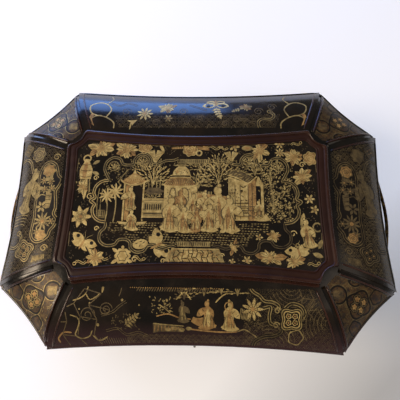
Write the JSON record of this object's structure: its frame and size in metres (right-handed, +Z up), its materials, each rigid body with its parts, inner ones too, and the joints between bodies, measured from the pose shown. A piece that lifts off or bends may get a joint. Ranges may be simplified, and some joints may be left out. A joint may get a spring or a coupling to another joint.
{
  "type": "lacquer sewing box",
  "caption": "Lobed eight-sided lacquer sewing box with a hinged domed lid, lift-out tray, drawer, end handles and paw feet.",
  "frame": {"origin": "on the floor under the middle of the box, at the bottom centre of its bounding box", "axes": "+X to the right along the long side, +Y to the hinged back, +Z up"},
  "size_m": [0.3982, 0.2614, 0.1504],
  "materials": {
    "black_lacquer": "glossy black-brown lacquer with gold ornament",
    "plain_wood": "red-brown stained wood",
    "gilt_wood": "carved and gilded wood",
    "boxwood": "turned and polished boxwood",
    "aged_brass": "brass with a dark patina",
    "steel": "filed steel",
    "silk": "woven red silk"
  },
  "bodies": {
    "case": {"wall_front": "black_lacquer", "wall_corner_front_right": "black_lacquer", "wall_right": "black_lacquer", "wall_corner_back_right": "black_lacquer", "wall_back": "black_lacquer", "wall_corner_back_left": "black_lacquer", "wall_left": "black_lacquer", "wall_corner_front_left": "black_lacquer", "floor_board": "plain_wood", "well_floor": "plain_wood", "plinth": "black_lacquer", "drawer_runners": "plain_wood", "tray_ledges": "plain_wood", "foot_front_right": "gilt_wood", "foot_back_right": "gilt_wood", "foot_back_left": "gilt_wood", "foot_front_left": "gilt_wood", "lock_case": "aged_brass", "escutcheon": "aged_brass", "hinge_left_case_leaf": "aged_brass", "hinge_right_case_leaf": "aged_brass", "hinge_pins": "aged_brass", "case_hinge_screws": "aged_brass", "bail_posts": "aged_brass", "bail_nuts": "aged_brass"},
    "lid": {"lid_frame": "black_lacquer", "lid_panel_front": "black_lacquer", "lid_panel_corner_front_right": "black_lacquer", "lid_panel_right": "black_lacquer", "lid_panel_corner_back_right": "black_lacquer", "lid_panel_back": "black_lacquer", "lid_panel_corner_back_left": "black_lacquer", "lid_panel_left": "black_lacquer", "lid_panel_corner_front_left": "black_lacquer", "tablet_moulding": "black_lacquer", "tablet_board": "black_lacquer", "hinge_left_lid_leaf": "aged_brass", "hinge_right_lid_leaf": "aged_brass", "lid_hinge_screws": "aged_brass", "strike_plate": "aged_brass"},
    "bail_left": {"bail_left": "aged_brass"},
    "bail_right": {"bail_right": "aged_brass"},
    "drawer": {"drawer_front": "black_lacquer", "drawer_side_left": "plain_wood", "drawer_side_right": "plain_wood", "drawer_back": "plain_wood", "drawer_bottom": "plain_wood", "drawer_knobs": "aged_brass"},
    "tray": {"tray_frame": "black_lacquer", "tray_floor": "plain_wood", "tray_dividers": "plain_wood", "reel_spindles": "boxwood", "pin_cushion": "silk"},
    "compartment_cover": {"compartment_lid": "black_lacquer", "compartment_knob": "boxwood"},
    "reel_1": {"reel_1": "boxwood"},
    "reel_2": {"reel_2": "boxwood"},
    "reel_3": {"reel_3": "boxwood"},
    "lock_bolt": {"lock_bolt": "steel"},
    "key": {"key": "aged_brass"}
  },
  "joints": [
    {"name": "lid_hinge", "type": "hinge", "parent": "case", "child": "lid", "pos_m": [0, 0.1255, 0.112], "axis": [-1, 0, 0], "range_deg": [0, 95]},
    {"name": "bail_left_swing", "type": "hinge", "parent": "case", "child": "bail_left", "pos_m": [-0.185, 0, 0.1055], "axis": [0, 1, 0], "range_deg": [0, 120]},
    {"name": "bail_right_swing", "type": "hinge", "parent": "case", "child": "bail_right", "pos_m": [0.185, 0, 0.1055], "axis": [0, -1, 0], "range_deg": [0, 120]},
    {"name": "drawer_slide", "type": "slide", "parent": "case", "child": "drawer", "axis": [0, -1, 0], "range_m": [0, 0.14]},
    {"name": "tray_lift", "type": "slide", "parent": "case", "child": "tray", "axis": [0, 0, 1], "range_m": [0, 0.01]},
    {"name": "compartment_lift", "type": "slide", "parent": "tray", "child": "compartment_cover", "axis": [0, 0, 1], "range_m": [0, 0.01]},
    {"name": "key_turn", "type": "hinge", "parent": "case", "child": "key", "pos_m": [0, -0.1126, 0.094], "axis": [0, -1, 0], "range_deg": [0, 180]},
    {"name": "bolt_rise", "type": "slide", "parent": "case", "child": "lock_bolt", "axis": [0, 0, 1], "range_m": [0, 0.005]},
    {"name": "reel_1_spin", "type": "hinge", "parent": "tray", "child": "reel_1", "pos_m": [-0.07973, 0, 0.091], "axis": [0, 0, 1], "continuous": true},
    {"name": "reel_2_spin", "type": "hinge", "parent": "tray", "child": "reel_2", "pos_m": [-0.1122, 0, 0.091], "axis": [0, 0, 1], "continuous": true},
    {"name": "reel_3_spin", "type": "hinge", "parent": "tray", "child": "reel_3", "pos_m": [-0.14467, 0, 0.091], "axis": [0, 0, 1], "continuous": true}
  ],
  "couplings": [
    {"joint": "key_turn", "follows": "bolt_rise", "rad_per_m": 628.3}
  ]
}
